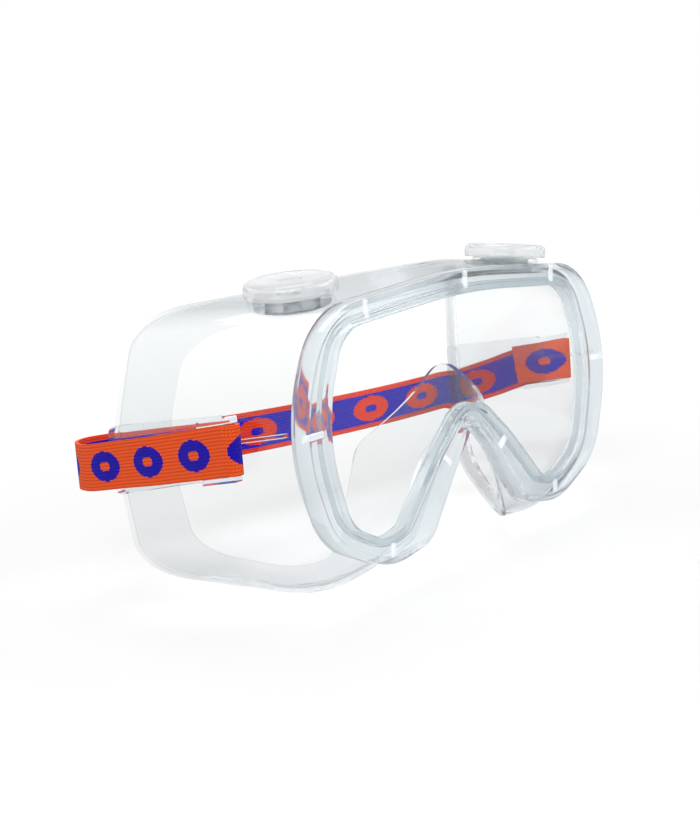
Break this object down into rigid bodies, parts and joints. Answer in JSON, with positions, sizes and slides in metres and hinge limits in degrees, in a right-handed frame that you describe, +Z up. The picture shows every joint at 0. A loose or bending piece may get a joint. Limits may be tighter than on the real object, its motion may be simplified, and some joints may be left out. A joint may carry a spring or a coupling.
{
  "type": "safety goggles",
  "caption": "Clear splash goggles with a flat wraparound lens, soft face skirt, capped roof vents and an elastic head strap threaded through side loops.",
  "frame": {"origin": "on the table under the middle of the whole object, strap included", "axes": "-Y is the front (the lens faces it), +X is across the goggles, +Z is up"},
  "size_m": [0.1872, 0.0996, 0.101],
  "materials": {
    "soft_vinyl": "glossy",
    "lens_sheet": "glossy",
    "lug_vinyl": "glossy",
    "elastic_webbing": "woven",
    "vent_plastic": "satin",
    "cap_plastic": "satin"
  },
  "bodies": {
    "goggles": {"frame_body": "soft_vinyl", "lens": "lens_sheet", "strap": "elastic_webbing", "strap_lug_left": "lug_vinyl", "strap_lug_right": "lug_vinyl", "vent_base_left": "vent_plastic", "vent_base_right": "vent_plastic"},
    "left_vent_cap": {"vent_cap_left": "cap_plastic"},
    "right_vent_cap": {"vent_cap_right": "cap_plastic"}
  },
  "joints": [
    {"name": "left_vent_cap_pull", "type": "slide", "parent": "goggles", "child": "left_vent_cap", "axis": [-0.0994, -0.0497, 0.9938], "range_m": [0, 0.012]},
    {"name": "right_vent_cap_pull", "type": "slide", "parent": "goggles", "child": "right_vent_cap", "axis": [0.0994, -0.0497, 0.9938], "range_m": [0, 0.012]}
  ]
}
